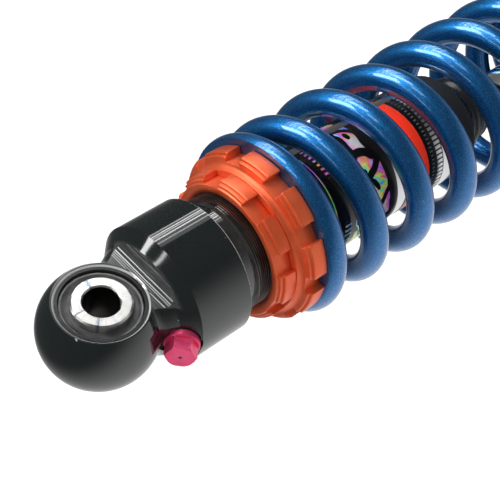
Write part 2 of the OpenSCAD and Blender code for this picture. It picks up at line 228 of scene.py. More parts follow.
def from_axis(tree, where, axis):
    """Distance from a line through the origin along Y or Z."""
    keep = {"Y": (1, 0, 1), "Z": (1, 1, 0)}[axis]
    flat = put(tree, "VectorMath", {0: where, 1: keep}, operation="MULTIPLY")
    return put(tree, "VectorMath", {0: (flat, 0)}, operation="LENGTH"), 1


def bump(tree, shader, height, depth):
    """Feeds the shader's normal from a height and its depth in metres."""
    feed(shader, "Normal", (put(tree, "Bump", {"Height": height, "Distance": depth}), 0))


def smudged(tree, shader, where, smooth, rough, **marks):
    """Varies the gloss with handling marks, and gives their mask."""
    touched = use(tree, handling, Vector=where, **marks)
    feed(shader, "Roughness", scaled(tree, touched, smooth, rough))
    return touched


def eye_rim(tree, where):
    """A mask for the cut edge of an eye's hole, which runs along Y through the origin."""
    hole_distance = from_axis(tree, where, "Y")
    side = maths(tree, "ABSOLUTE", split(tree, where)[1])
    return maths(
        tree, "MULTIPLY",
        between(tree, hole_distance, eye_hole - slack, eye_hole + rim_width, soft=0.00008),
        maths(tree, "GREATER_THAN", side, eye_half_width - rim_depth),
    )


def coat(material, *names):
    """Gives CAD nodes their finish."""
    for name in names:
        frame["nodes"][name].material_slots[0].material = material


black_green = (0.0048, 0.0072, 0.0070)
bare_and_highlight_grey = (0.80, 0.80, 0.78)
swarf = (0.3, 0.25, 0.2)
cap_finish, tree, shader, where = finish("black_anodise_cap", black_green, 0.0, 0.05, IOR=1.8)
x, y, z = split(tree, where)
past_eye = maths(tree, "GREATER_THAN", maths(tree, "ABSOLUTE", y), eye_half_width - slack)
at_flat = between(tree, z, flat_bottom - 2 * slack, flat_top, soft=0.0004)
milled = maths(tree, "MULTIPLY", past_eye, at_flat)
along_pass, across_pass = 60.0, 2600.0
pass_lines = put(tree, "CombineXYZ", {
    "X": maths(tree, "MULTIPLY", x, along_pass),
    "Y": maths(tree, "MULTIPLY", y, across_pass),
    "Z": maths(tree, "MULTIPLY", z, across_pass),
})
streaks = put(tree, "TexNoise", {"Vector": (pass_lines, 0), "Scale": 1.0, "Detail": 2.0})
milled_shine = maths(tree, "MULTIPLY", milled, scaled(tree, (streaks, 0), 0.0, 0.07))
# Painted highlights: the bore's rim, cut bare, is painted paler as a highlight, and a pale band
# under the lower edge is a painted highlight for its chamfer. The milled flats get faint bare
# streaks.
lower_edge_highlight = maths(tree, "LESS_THAN", z, edge_highlight_below)
bare_and_highlight = maths(
    tree, "MAXIMUM",
    maths(tree, "MULTIPLY", eye_rim(tree, where), 0.75),
    maths(tree, "MULTIPLY", lower_edge_highlight, 0.6),
)
bare_and_highlight = maths(tree, "MAXIMUM", bare_and_highlight, milled_shine)
cutter_depth = 26.0
cutter_lines = maths(
    tree, "MULTIPLY", maths(tree, "MULTIPLY", (streaks, 0), milled), cutter_depth
)
lathe_lines = use(tree, tool_marks, Feed=z, Rings_per_metre=1500.0)
bump(tree, shader, maths(tree, "ADD", cutter_lines, lathe_lines), 3.5e-7)
smudged(tree, shader, where, 0.05, 0.1, Fine_rubs=0.0)
specks = use(tree, dust, Vector=where, Share=0.12)
base = tint(tree, bare_and_highlight, black_green, bare_and_highlight_grey)
feed(shader, "Base Color", tint(tree, maths(tree, "MULTIPLY", specks, 0.5), base, swarf))
feed(shader, "Metallic", maths(tree, "MULTIPLY", bare_and_highlight, 0.55))
coat(cap_finish, "eye_cap")

# ---- Upper and lower bushes ------------------------------------------------
# Each eye holds a pressed steel shell, a moulded rubber ring bonded inside it,
# and a turned steel sleeve for the bolt. The rubber stands up in a thin lip at
# its rim, where the mould's flash was torn off, and dips to the sleeve.
eye_to_eye = 0.250
bolt_radius = 0.005
rubber_inner = 0.00852
rubber_outer = 0.0116
lip_inner, lip_outer = 0.01078, 0.01130
lip_foot = 0.0096


def turned(name, outline, segments, axis="Z", centre=0.0):
    """Turns a closed outline of (radius, height) points about Z or Y."""
    bpy.ops.object.select_all(action="DESELECT")
    radius, height = outline[0]
    bpy.ops.mesh.primitive_circle_add(vertices=segments, radius=radius, location=(0, 0, height))
    made = bpy.context.object
    made.name = name
    made.data.name = name
    bpy.ops.object.mode_set(mode="EDIT")
    bpy.ops.mesh.select_all(action="SELECT")
    for next_radius, next_height in (*outline[1:], outline[0]):
        bpy.ops.mesh.extrude_region_move(
            TRANSFORM_OT_translate={"value": (0, 0, next_height - height)}
        )
        grow = next_radius / radius
        bpy.ops.transform.resize(value=(grow, grow, 1), center_override=(0, 0, next_height))
        radius, height = next_radius, next_height
    bpy.ops.mesh.select_all(action="SELECT")
    bpy.ops.mesh.remove_doubles(threshold=1e-6)
    bpy.ops.mesh.normals_make_consistent(inside=False)
    bpy.ops.object.mode_set(mode="OBJECT")
    bpy.ops.object.transform_apply(location=True)
    if axis == "Y":
        made.rotation_euler = (-math.pi / 2, 0, 0)
    made.location = (0, 0, centre)
    bpy.ops.object.transform_apply(location=True, rotation=True)
    return made


def smooth(piece, degrees):
    """Shades a piece smooth except across edges sharper than this."""
    bpy.ops.object.select_all(action="DESELECT")
    piece.select_set(True)
    bpy.context.view_layer.objects.active = piece
    bpy.ops.object.shade_smooth_by_angle(angle=math.radians(degrees))


def seat(piece, body, slot, material, *stands_for):
    """Puts a finished piece on its body and gives it its material."""
    piece.data.materials.clear()
    piece.data.materials.append(material)
    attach(piece, body)
    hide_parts(*stands_for)


def ramp(tree, share, *stops):
    """A colour ramp through (place, colour) stops."""
    made = put(tree, "ValToRGB", {0: share})
    for place, colour in stops[2:]:
        made.color_ramp.elements.new(place)
    for element, (place, colour) in zip(made.color_ramp.elements, stops):
        element.position = place
        element.color = (*colour, 1)
    return made, 0


def turned_metal(name, colour, metallic, smooth, rough, rings, depth, axis="Z", **sockets):
    """A lathe-turned finish: tool rings up the Z axis or out from Y, and smudged gloss."""
    material, tree, shader, where = finish(name, colour, metallic, smooth, **sockets)
    track = split(tree, where)[2] if axis == "Z" else from_axis(tree, where, axis)
    bump(tree, shader, use(tree, tool_marks, Feed=track, Rings_per_metre=rings), depth)
    smudged(tree, shader, where, smooth, rough, Fine_rubs=0.0)
    return material, tree, shader, where


rubber_finish, tree, shader, where = finish(
    "bush_rubber", (0.026, 0.026, 0.027), 0.0, 0.5, IOR=1.5
)
grain = put(tree, "TexNoise", {"Vector": where, "Scale": 1500.0, "Detail": 4.0})
flow = put(tree, "TexNoise", {"Vector": where, "Scale": 260.0, "Detail": 2.0})
height = maths(tree, "MULTIPLY_ADD", (flow, 0), 2.5, (grain, 0))
bump(tree, shader, height, 3.5e-5)
chalk = use(tree, handling, Vector=where, Size=240.0)
lip = between(tree, from_axis(tree, where, "Y"), lip_inner, lip_outer, soft=0.00006)
# Painted highlight: the lip's crest is coloured a lighter grey, flecked by the grain.
lip_painted_highlight = maths(tree, "MULTIPLY", lip, scaled(tree, (grain, 0), 0.2, 0.9))
skin = tint(tree, chalk, (0.02, 0.02, 0.021), (0.07, 0.071, 0.072))
feed(shader, "Base Color", tint(tree, lip_painted_highlight, skin, (0.34, 0.34, 0.34)))
feed(shader, "Roughness", scaled(tree, (flow, 0), 0.36, 0.6))

half_outline = [
    (rubber_inner, 0.0088), (0.0089, 0.0086), (0.0096, 0.0087), (0.0103, 0.0089),
    (0.0106, 0.0092), (0.01075, 0.0097), (0.0109, 0.00992), (0.01108, 0.00998),
    (0.01125, 0.00985), (0.01138, 0.0094), (rubber_outer, 0.0090),
]
bush_outline = half_outline + [(r, -h) for r, h in reversed(half_outline)]
for name, body, eye_centre in (
    ("upper", "damper_body", 0.0),
    ("lower", "rod_assembly", -eye_to_eye),
):
    rubber = turned(
        f"{name}_bush_moulding", bush_outline, segments=120, axis="Y", centre=eye_centre
    )
    torn = bpy.data.textures.new(f"{name}_torn_flash", "CLOUDS")
    torn.noise_scale = 0.0011
    flash = rubber.vertex_groups.new(name="flash")
    raised = [v.index for v in rubber.data.vertices if abs(v.co.y) > lip_foot]
    flash.add(raised, 1.0, "REPLACE")
    tear = rubber.modifiers.new("torn_flash", "DISPLACE")
    tear.texture = torn
    tear.vertex_group = "flash"
    tear.direction = "NORMAL"
    tear.texture_coords = "LOCAL"
    tear.mid_level = 1.0
    tear.strength = 0.00055
    bpy.ops.object.modifier_apply(modifier="torn_flash")
    rubber.vertex_groups.clear()
    smooth(rubber, degrees=60)
    seat(rubber, body, "bush_rubber", rubber_finish, f"{name}_bush_rubber")

sleeve_finish, tree, shader, where = finish(
    "zinc_steel_sleeve", (0.80, 0.80, 0.78), 1.0, 0.22, Anisotropic=0.75
)
bore_distance = from_axis(tree, where, "Y")
faced = use(tree, tool_marks, Feed=bore_distance, Rings_per_metre=5200.0)
bump(tree, shader, faced, 1.6e-5)
x, y, z = split(tree, where)
wedge_place = maths(tree, "MULTIPLY", maths(tree, "ARCTAN2", z, x), 1.7)
gloss_and_reflection_wedges = put(
    tree, "TexNoise", {"W": wedge_place, "Scale": 1.4, "Detail": 3.0, "Roughness": 0.7},
    noise_dimensions="1D",
)
# Painted reflections: the face is coloured in light and dark bluish wedges round the bore,
# standing for the radial highlights of a faced cut. The same wedges vary the gloss.
painted_reflection_bands = ramp(
    tree, (gloss_and_reflection_wedges, 0),
    (0.36, (0.40, 0.45, 0.52)),
    (0.44, (0.84, 0.84, 0.81)),
    (0.60, (0.90, 0.89, 0.86)),
    (0.72, (0.62, 0.68, 0.70)),
)
# Painted shade: the bore is coloured near black, as it lies in shadow.
bore_painted_shade = grade(tree, bore_distance, bolt_radius + 0.00015, bolt_radius + 0.00005)
feed(shader, "Base Color", tint(tree, bore_painted_shade, painted_reflection_bands, (0.03, 0.028, 0.026)))
feed(shader, "Roughness", scaled(tree, (gloss_and_reflection_wedges, 0), 0.14, 0.34))
feed(shader, "Tangent", (put(tree, "Tangent", direction_type="RADIAL", axis="Y"), 0))
shell_finish = turned_metal(
    "black_steel_shell", (0.018, 0.019, 0.019), 0.3,
    smooth=0.22, rough=0.4, rings=3000, depth=8e-6, axis="Y",
)[0]
coat(sleeve_finish, "upper_bush_sleeve", "lower_bush_sleeve")
coat(shell_finish, "upper_bush_shell", "lower_bush_shell")

# ---- Gas screw -------------------------------------------------------------
# A small hexagon screw of magenta anodised aluminium closes the gas filling
# hole. Its head has a drilled centre left bare, and it sits on a rubber ring
# over the valve plug.
screw_place = (-0.0172, 0.0, -0.015)
screw_lean = math.radians(-44)
screw_finish, tree, shader, where = finish("magenta_anodise", (0.70, 0.05, 0.17), 0.7, 0.3)
own_place = put(tree, "Mapping", {
    "Vector": where, "Location": screw_place, "Rotation": (0, screw_lean, 0),
}, vector_type="TEXTURE")
spread = from_axis(tree, (own_place, 0), "Z")
sawn = use(tree, tool_marks, Feed=spread, Rings_per_metre=5000.0)
bump(tree, shader, sawn, 4e-7)
dimple = grade(tree, spread, 0.00062, 0.00052)
worn = smudged(tree, shader, where, 0.32, 0.38, Size=260.0)
dye = tint(tree, worn, (0.80, 0.06, 0.17), (0.90, 0.10, 0.24))
feed(shader, "Base Color", tint(tree, dimple, dye, (0.35, 0.34, 0.32)))
coat(screw_finish, "gas_screw")

seal_finish, tree, shader, where = finish("seal_rubber", (0.012, 0.012, 0.013), 0.0, 0.42)
grain = put(tree, "TexNoise", {"Vector": where, "Scale": 2600.0, "Detail": 2.0})
bump(tree, shader, (grain, 0), 1e-5)
feed(shader, "Roughness", scaled(tree, (grain, 0), 0.34, 0.5))
coat(
    seal_finish, "gas_screw_seal", "gas_valve_plug", "cap_seal", "tube_seal",
    "floating_piston_seal", "seal_head_oring", "oil_seal", "wiper_seal",
)

# ---- Threaded collar and seal head -----------------------------------------
# The collar under the cap carries the thread that both rings run on. It and
# the seal head that closes the tube are turned aluminium, black anodised.
collar_finish, tree, shader, where = turned_metal(
    "black_anodise_collar", (0.006, 0.0065, 0.0065), 0.0,
    smooth=0.05, rough=0.1, rings=1800, depth=3e-7, IOR=1.9,
)
oil = use(tree, handling, Vector=where, Size=160.0)
feed(shader, "Base Color", tint(tree, oil, (0.005, 0.006, 0.006), (0.02, 0.019, 0.018)))
coat(collar_finish, "threaded_collar")
head_finish = turned_metal(
    "black_anodise_head", (0.02, 0.021, 0.021), 0.0,
    smooth=0.3, rough=0.45, rings=2600, depth=8e-6, IOR=1.7,
)[0]
coat(head_finish, "seal_head")

# ---- Damper tube and its labels --------------------------------------------
# The tube is drawn aluminium, polished and left bare. Two printed films wrap
# it: one with large rainbow-foil shapes on black, and one with plain red,
# black and silver bands.
film_radius = 0.0176
edge_line_heights = (-0.0762, -0.0758)
tick_heights = (-0.0815, -0.0788)
foil_heights = (-0.0985, -0.0835)
red_heights = (-0.1171, -0.1075)
small_row_heights = (-0.1197, -0.1186)
silver_heights = (-0.1236, -0.1211)

tube_finish = turned_metal(
    "polished_aluminium", (0.72, 0.73, 0.74), 1.0,
    smooth=0.12, rough=0.24, rings=5200, depth=3e-6,
)[0]
coat(tube_finish, "damper_tube")

# Rainbow foil: colour bands that change with the place on the film.
foil, inside, outside = new_group(
    "rainbow_foil",
    {"Vector": ("Vector", (0, 0, 0)), "Bands per metre": ("Float", 60.0)},
    {"Color": "Color"},
)
drift = put(foil, "TexNoise", {
    "Vector": (inside, "Vector"), "Scale": (inside, "Bands per metre"),
    "Detail": 2.5, "Roughness": 0.65, "Distortion": 1.2,
})
hue = maths(foil, "FRACT", maths(foil, "MULTIPLY", (drift, 0), 4.2))
vivid = put(foil, "CombineColor", {0: hue, 1: 0.78, 2: 1.0}, mode="HSV")
pale = put(foil, "TexNoise", {"Vector": (inside, "Vector"), "Scale": 210.0, "Detail": 1.0})
washed = grade(foil, (pale, 0), 0.52, 0.72)
feed(outside, 0, tint(foil, washed, (vivid, 0), (0.80, 0.82, 0.84)))


def round_film(tree, x, y):
    """The distance round the tube, along the film."""
    return maths(tree, "MULTIPLY", maths(tree, "ARCTAN2", y, x), film_radius)


def dashes(tree, distance, half_pitch, half_width):
    """A mask of evenly spaced marks."""
    folded = maths(tree, "PINGPONG", distance, half_pitch)
    return maths(tree, "LESS_THAN", folded, half_width)


label_finish, tree, shader, where = finish(
    "label_film_foil", (0.004, 0.004, 0.005), 0.0, 0.12, IOR=1.5
)
x, y, z = split(tree, where)
round_way = round_film(tree, x, y)
unrolled = put(tree, "CombineXYZ", {
    "X": round_way, "Y": maths(tree, "MULTIPLY", z, 1.25), "Z": 0.0,
})
wobble = put(
    tree, "TexNoise", {"Vector": (unrolled, 0), "Scale": 130.0, "Detail": 0.0},
    noise_dimensions="2D",
)
swung = put(tree, "VectorMath", {
    0: (wobble, "Color"), 1: (0.004, 0.004, 0.0), 2: (unrolled, 0),
}, operation="MULTIPLY_ADD")
cells = {"Vector": (swung, 0), "Scale": 88.0, "Randomness": 0.9}
walls = put(tree, "TexVoronoi", cells, feature="DISTANCE_TO_EDGE", voronoi_dimensions="2D")
middles = put(tree, "TexVoronoi", cells, feature="F1", voronoi_dimensions="2D")
shapes = grade(tree, (walls, "Distance"), 0.125, 0.14)
holes = grade(tree, (middles, "Distance"), 0.13, 0.145)
printed = maths(tree, "MULTIPLY", shapes, holes)
printed = maths(tree, "MULTIPLY", printed, between(tree, z, *foil_heights, soft=0.0001))
edge_line = between(tree, z, *edge_line_heights, soft=0.00004)
ticks = maths(
    tree, "MULTIPLY",
    between(tree, z, *tick_heights, soft=0.00005),
    dashes(tree, round_way, half_pitch=0.0009, half_width=0.00038),
)
patch_pitch, patch_width = 0.0138, 0.0062
patch_place = maths(tree, "PINGPONG", round_way, patch_pitch)
patch = between(tree, patch_place, 0.0, patch_width, soft=0.0001)
ticks = maths(tree, "MULTIPLY", ticks, patch)
printed = maths(tree, "MAXIMUM", printed, maths(tree, "MAXIMUM", edge_line, ticks))
foil_colour = use(tree, foil, Vector=where, Bands_per_metre=75.0)
feed(shader, "Base Color", tint(tree, printed, (0.0045, 0.0045, 0.005), foil_colour))
feed(shader, "Metallic", maths(tree, "MULTIPLY", printed, 0.3))
smudged(tree, shader, where, 0.1, 0.24, Size=120.0)
coat(label_finish, "main_label")

band_finish, tree, shader, where = finish(
    "label_film_bands", (0.01, 0.01, 0.01), 0.0, 0.3, IOR=1.5
)
x, y, z = split(tree, where)
round_way = round_film(tree, x, y)
red_band = between(tree, z, *red_heights, soft=0.00006)
silver_band = maths(
    tree, "MULTIPLY",
    between(tree, z, *silver_heights, soft=0.00006),
    dashes(tree, round_way, half_pitch=0.0008, half_width=0.0005),
)
small_row = maths(
    tree, "MULTIPLY",
    between(tree, z, *small_row_heights, soft=0.00005),
    dashes(tree, round_way, half_pitch=0.0007, half_width=0.00025),
)
printed = tint(tree, red_band, (0.006, 0.006, 0.007), (1.0, 0.045, 0.016))
printed = tint(tree, maths(tree, "MULTIPLY", small_row, 0.16), printed, (0.7, 0.7, 0.7))
feed(shader, "Base Color", tint(tree, silver_band, printed, (0.72, 0.73, 0.72)))
feed(shader, "Metallic", silver_band)
smudged(tree, shader, where, 0.2, 0.34, Size=130.0)
coat(band_finish, "data_label")

# ---- Piston, rod and guide -------------------------------------------------
# A machined float parts the gas from the oil. Below it, a sintered piston with a
# sliding band and two shim stacks is nutted to the hard-chromed rod, a urethane
# ring softens its stop, and the rod runs in a bronze bushing behind the seals.
float_finish = turned_metal(
    "machined_aluminium", (0.70, 0.71, 0.72), 1.0,
    smooth=0.2, rough=0.3, rings=4200, depth=6e-6,
)[0]
coat(float_finish, "floating_piston")
bronze_finish, tree, shader, where = finish("sintered_bronze", (0.42, 0.27, 0.13), 0.9, 0.45)
pores = put(tree, "TexVoronoi", {"Vector": where, "Scale": 3200.0})
bump(tree, shader, (pores, 0), 1.4e-5)
feed(shader, "Base Color", tint(tree, (pores, 0), (0.30, 0.19, 0.09), (0.50, 0.33, 0.17)))
coat(bronze_finish, "piston", "rod_bushing")
slide_finish, tree, shader, where = finish("ptfe_band", (0.05, 0.045, 0.04), 0.0, 0.4)
fleck = put(tree, "TexNoise", {"Vector": where, "Scale": 1800.0, "Detail": 3.0})
feed(shader, "Base Color", tint(tree, (fleck, 0), (0.03, 0.027, 0.025), (0.12, 0.095, 0.06)))
coat(slide_finish, "piston_band")
shim_finish = turned_metal(
    "shim_steel", (0.36, 0.38, 0.42), 1.0, smooth=0.18, rough=0.32, rings=9000, depth=3e-6
)[0]
coat(shim_finish, "compression_shims", "rebound_shims", "wiper_circlip")
nut_finish = turned_metal(
    "zinc_steel_nut", (0.62, 0.62, 0.58), 1.0, smooth=0.24, rough=0.42, rings=3000, depth=8e-6
)[0]
coat(nut_finish, "piston_nut")
urethane_finish, tree, shader, where = finish(
    "urethane", (0.55, 0.36, 0.09), 0.0, 0.35, Subsurface_Weight=0.2
)
cloud = put(tree, "TexNoise", {"Vector": where, "Scale": 160.0, "Detail": 3.0})
feed(shader, "Base Color", tint(tree, (cloud, 0), (0.46, 0.28, 0.06), (0.62, 0.42, 0.12)))
coat(urethane_finish, "top_out_bumper")
chrome_finish = turned_metal(
    "hard_chrome", (0.78, 0.79, 0.80), 1.0, smooth=0.04, rough=0.1, rings=7000, depth=1e-6
)[0]
coat(chrome_finish, "damper_rod")

# ---- Bump stop -------------------------------------------------------------
# A moulded foam cushion on the rod under the seal head. It has three soft
# lobes, so it folds up evenly, and a smooth black skin from the mould.
stop_top = -0.1407
stop_outline = [
    (0.0066, 0.0), (0.0118, 0.0), (0.0124, -0.00015), (0.0129, -0.0006),
    (0.0130, -0.0014), (0.0130, -0.0030), (0.0129, -0.0039), (0.0125, -0.0049),
    (0.0121, -0.0056), (0.0120, -0.0060), (0.0121, -0.0064), (0.0125, -0.0071),
    (0.0128, -0.0080), (0.0127, -0.0090), (0.0122, -0.0099), (0.0116, -0.0107),
    (0.0112, -0.0113), (0.0112, -0.0118), (0.0114, -0.0125), (0.0116, -0.0132),
    (0.0115, -0.0141), (0.0110, -0.0150), (0.0103, -0.0157), (0.0095, -0.01615),
    (0.0088, -0.0163), (0.0066, -0.0163),
]
bump_stop = turned(
    "moulded_bump_stop", [(r, stop_top + h) for r, h in stop_outline], segments=96
)
smooth(bump_stop, degrees=50)
foam_finish, tree, shader, where = finish(
    "bump_foam", (0.012, 0.012, 0.013), 0.0, 0.22, IOR=1.55
)
skin = put(tree, "TexNoise", {"Vector": where, "Scale": 900.0, "Detail": 4.0})
bump(tree, shader, (skin, 0), 1.5e-5)
feed(shader, "Roughness", scaled(tree, (skin, 0), 0.14, 0.34))
seat(bump_stop, "damper_body", "bump_foam", foam_finish, "bump_stop")

# ---- Lock ring and preload ring --------------------------------------------
# Two aluminium rings screw down the collar: the wide one presses on the
# spring, and the narrow one locks it. Each is turned with a stepped rim, has
# spanner slots milled across it, is blasted, and is anodised orange.
ring_bore = 0.01805
lock_top = -0.0465
preload_top = -0.0526
edge_radius = 0.00014


def mill_slots(ring, teeth, width, floor, low, high, first_tooth):
    """Cuts parallel-sided spanner slots midway between the teeth."""
    reach = 0.012
    cutters = []
    for i in range(teeth):
        side = math.radians(first_tooth + (i + 0.5) * 360 / teeth)
        out = floor + reach / 2
        bpy.ops.object.select_all(action="DESELECT")
        bpy.ops.mesh.primitive_cube_add(
            size=1,
            location=(out * math.cos(side), out * math.sin(side), (low + high) / 2),
            rotation=(0, 0, side),
            scale=(reach, width, high - low),
        )
        cutters.append(bpy.context.object)
    for cutter in cutters:
        cutter.select_set(True)
    bpy.ops.object.join()
    cutter = bpy.context.object
    cut = ring.modifiers.new("slots", "BOOLEAN")
    cut.object = cutter
    cut.operation = "DIFFERENCE"
    cut.solver = "EXACT"
    bpy.ops.object.select_all(action="DESELECT")
    ring.select_set(True)
    bpy.context.view_layer.objects.active = ring
    bpy.ops.object.modifier_apply(modifier="slots")
    bpy.data.objects.remove(cutter)


def soften(piece, radius, degrees):
    """Rounds off the edges as blasting does."""
    rounding = piece.modifiers.new("rounding", "BEVEL")
    rounding.width = radius
    rounding.segments = 2
    rounding.limit_method = "ANGLE"
    rounding.angle_limit = math.radians(degrees)
    rounding.use_clamp_overlap = True
    bpy.ops.object.modifier_apply(modifier="rounding")


lock_outline = [
    (ring_bore, -0.0011), (0.0196, 0.0), (0.0212, 0.0), (0.0215, -0.0005),
    (0.0222, -0.0005), (0.0224, -0.0007), (0.0224, -0.0015), (0.0230, -0.0015),
    (0.0233, -0.0018), (0.0233, -0.0057), (0.0230, -0.0060), (0.01885, -0.0060),
    (ring_bore, -0.0052),
]
lock_ring = turned(
    "turned_lock_ring", [(r, lock_top + h) for r, h in lock_outline], segments=144
)
mill_slots(
    lock_ring, teeth=8, width=0.007, floor=0.021,
    low=lock_top - 0.0075, high=lock_top + 0.001, first_tooth=-127.7,
)
soften(lock_ring, edge_radius, degrees=40)
smooth(lock_ring, degrees=38)

flare = 0.0017
steps = [math.radians(a) for a in range(0, 91, 15)]
preload_outline = [
    (0.01885, 0.0), (0.0231, 0.0), (0.0233, -0.0002),
    *[(0.0233 + flare * (1 - math.cos(a)), -0.0003 - flare * math.sin(a)) for a in steps],
    (0.0262, -0.0020), (0.0264, -0.0022), (0.0264, -0.0030), (0.0271, -0.0030),
    (0.0274, -0.0033), (0.0274, -0.0079), (0.0271, -0.0082), (0.0209, -0.0082),
    (0.0209, -0.0117), (0.0201, -0.0125), (0.01885, -0.0125), (ring_bore, -0.0117),
    (ring_bore, -0.0008),
]
preload_ring = turned(
    "turned_preload_ring", [(r, preload_top + h) for r, h in preload_outline], segments=160
)
mill_slots(
    preload_ring, teeth=10, width=0.0059, floor=0.0247,
    low=preload_top - 0.0092, high=preload_top - 0.0014, first_tooth=-118.6,
)
soften(preload_ring, edge_radius, degrees=40)
smooth(preload_ring, degrees=38)

orange = (0.78, 0.105, 0.028)
ring_finish, tree, shader, where = finish(
    "orange_anodise", orange, 0.72, 0.42, Coat_Weight=0.4, Coat_Roughness=0.42
)
blast = put(tree, "TexNoise", {"Vector": where, "Scale": 5200.0, "Detail": 2.0})
lathe = use(tree, tool_marks, Feed=from_axis(tree, where, "Z"), Rings_per_metre=3200.0)
height = maths(tree, "MULTIPLY_ADD", lathe, 0.7, (blast, 0))
bump(tree, shader, height, 6e-6)
touched = smudged(tree, shader, where, 0.36, 0.5, Size=110.0)
specks = use(tree, dust, Vector=where, Share=0.1)
dye = tint(tree, touched, orange, (0.86, 0.15, 0.05))
feed(shader, "Base Color", tint(tree, specks, dye, (0.95, 0.7, 0.6)))
seat(lock_ring, "ring_lock", "orange_anodise", ring_finish, "lock_ring")
seat(preload_ring, "preload_adjuster", "orange_anodise", ring_finish, "preload_ring")

# ---- Main spring -----------------------------------------------------------
# Round spring steel wound right-handed, with each end coil closed up and
# ground flat. It is painted in blue with fine metal flake under clear lacquer.
wire_radius = 0.0043
coil_radius = 0.0257
pitch = 0.0207
closed_pitch = 0.0052
closed_turns = 0.744
ease_turns = 0.3
tip_angle = math.radians(40)
tip_inset = 0.0007
spring_low, spring_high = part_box("coil_spring")
drop = spring_high.z - spring_low.z - 2 * tip_inset
turns = (drop + 2 * (pitch - closed_pitch) * closed_turns) / pitch
wire_sides = 32
cuts_per_turn = 104
cuts = math.ceil(turns * cuts_per_turn)

bpy.ops.object.select_all(action="DESELECT")
bpy.ops.mesh.primitive_circle_add(
    vertices=wire_sides,
    radius=wire_radius,
    location=(coil_radius * math.cos(tip_angle), coil_radius * math.sin(tip_angle), 0),
    rotation=(math.pi / 2, 0, tip_angle),
)
spring = bpy.context.object
spring.name = "main_spring"
spring.data.name = "main_spring"
bpy.ops.object.transform_apply(location=True, rotation=True)
wind = spring.modifiers.new("winding", "SCREW")
wind.angle = -2 * math.pi * turns
wind.screw_offset = 0
wind.steps = cuts
wind.render_steps = cuts
wind.use_merge_vertices = False
bpy.ops.object.modifier_apply(modifier="winding")


def opened(t):
    """Turns wound at the open pitch after t turns from a closed end."""
    if t < 0:
        return 0
    return t * t / (2 * ease_turns) if t < ease_turns else t - ease_turns / 2


for vertex in spring.data.vertices:
    t = turns * (vertex.index // wire_sides) / cuts
    wide = (
        opened(t - closed_turns + ease_turns / 2)
        - opened(t - turns + closed_turns + ease_turns / 2)
    )
    vertex.co.z += spring_high.z - tip_inset - closed_pitch * t - (pitch - closed_pitch) * wide
bpy.ops.object.mode_set(mode="EDIT")
bpy.ops.mesh.select_all(action="SELECT")
bpy.ops.mesh.fill_holes(sides=0)
for flat, outward in ((spring_high.z, 1), (spring_low.z, -1)):
    bpy.ops.mesh.select_all(action="SELECT")
    bpy.ops.mesh.bisect(
        plane_co=(0, 0, flat), plane_no=(0, 0, outward), use_fill=True, clear_outer=True
    )
bpy.ops.mesh.select_all(action="SELECT")
bpy.ops.mesh.remove_doubles(threshold=1e-6)
bpy.ops.mesh.normals_make_consistent(inside=False)
bpy.ops.object.mode_set(mode="OBJECT")
smooth(spring, degrees=40)

spring_finish, tree, shader, where = finish(
    "blue_flake_paint", (0.008, 0.11, 0.40), 0.92, 0.3,
    Coat_Weight=1.0, Coat_Roughness=0.05, Coat_IOR=1.55,
)
flakes = put(tree, "TexVoronoi", {"Vector": where, "Scale": 6500.0})
flake_lot = put(tree, "SeparateColor", {0: (flakes, "Color")})
flake_shade = tint(tree, (flake_lot, 0), (0.003, 0.08, 0.27), (0.012, 0.23, 0.60))
sparkle = maths(tree, "GREATER_THAN", (flake_lot, 1), 0.965)
flake_shade = tint(tree, maths(tree, "MULTIPLY", sparkle, 0.5), flake_shade, (0.20, 0.55, 0.95))
specks = use(tree, dust, Vector=where, Specks_per_metre=330.0, Share=0.16)
feed(shader, "Base Color", tint(tree, specks, flake_shade, (0.62, 0.38, 0.36)))
feed(shader, "Roughness", scaled(tree, (flake_lot, 2), 0.28, 0.46))
peel = put(tree, "TexNoise", {"Vector": where, "Scale": 620.0, "Detail": 2.0})
lacquer = put(tree, "Bump", {"Height": (peel, 0), "Distance": 2.2e-5})
feed(shader, "Coat Normal", (lacquer, 0))
bump(tree, shader, (flake_lot, 1), 5e-6)
seat(spring, "spring_carrier", "blue_paint", spring_finish, "coil_spring")

# The preload ring pushes the upper end down while the lower end keeps its seat,
# and the damper's travel shortens what is left.
spring_length = spring_high.z - spring_low.z
share_down = spring.vertex_groups.new(name="lower_end")
for vertex in spring.data.vertices:
    share_down.add([vertex.index], (spring_high.z - vertex.co.z) / spring_length, "REPLACE")
hold = spring.modifiers.new("seated_end", "HOOK")
hold.object = frame["bodies"]["damper_body"]
hold.vertex_group = "lower_end"
hold.falloff_type = "NONE"
hold.matrix_inverse = frame["bodies"]["damper_body"].matrix_world.inverted() @ spring.matrix_world
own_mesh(spring)

# ---- Lower seat, lower eye and jam nut -------------------------------------
# The spring stands on a slotted plate that slips over the rod. Under it the
# rod screws into the lower eye, milled from bar, and a nut locks it.
seat_finish = turned_metal(
    "black_anodise_seat", (0.007, 0.008, 0.008), 0.0,
    smooth=0.12, rough=0.24, rings=2400, depth=6e-6, IOR=1.8,
)[0]
coat(seat_finish, "lower_seat")
lower_finish, tree, shader, where = turned_metal(
    "black_anodise_lower_eye", black_green, 0.0,
    smooth=0.05, rough=0.12, rings=1500, depth=7e-7, IOR=1.8,
)
from_eye = put(tree, "VectorMath", {0: where, 1: (0, 0, eye_to_eye)}, operation="ADD"), 0
# Painted highlight: the bore's rim, cut bare, is painted paler as a highlight.
bare_and_highlight = maths(tree, "MULTIPLY", eye_rim(tree, from_eye), 0.75)
feed(shader, "Base Color", tint(tree, bare_and_highlight, black_green, bare_and_highlight_grey))
feed(shader, "Metallic", bare_and_highlight)
coat(lower_finish, "lower_eye")
coat(nut_finish, "jam_nut")

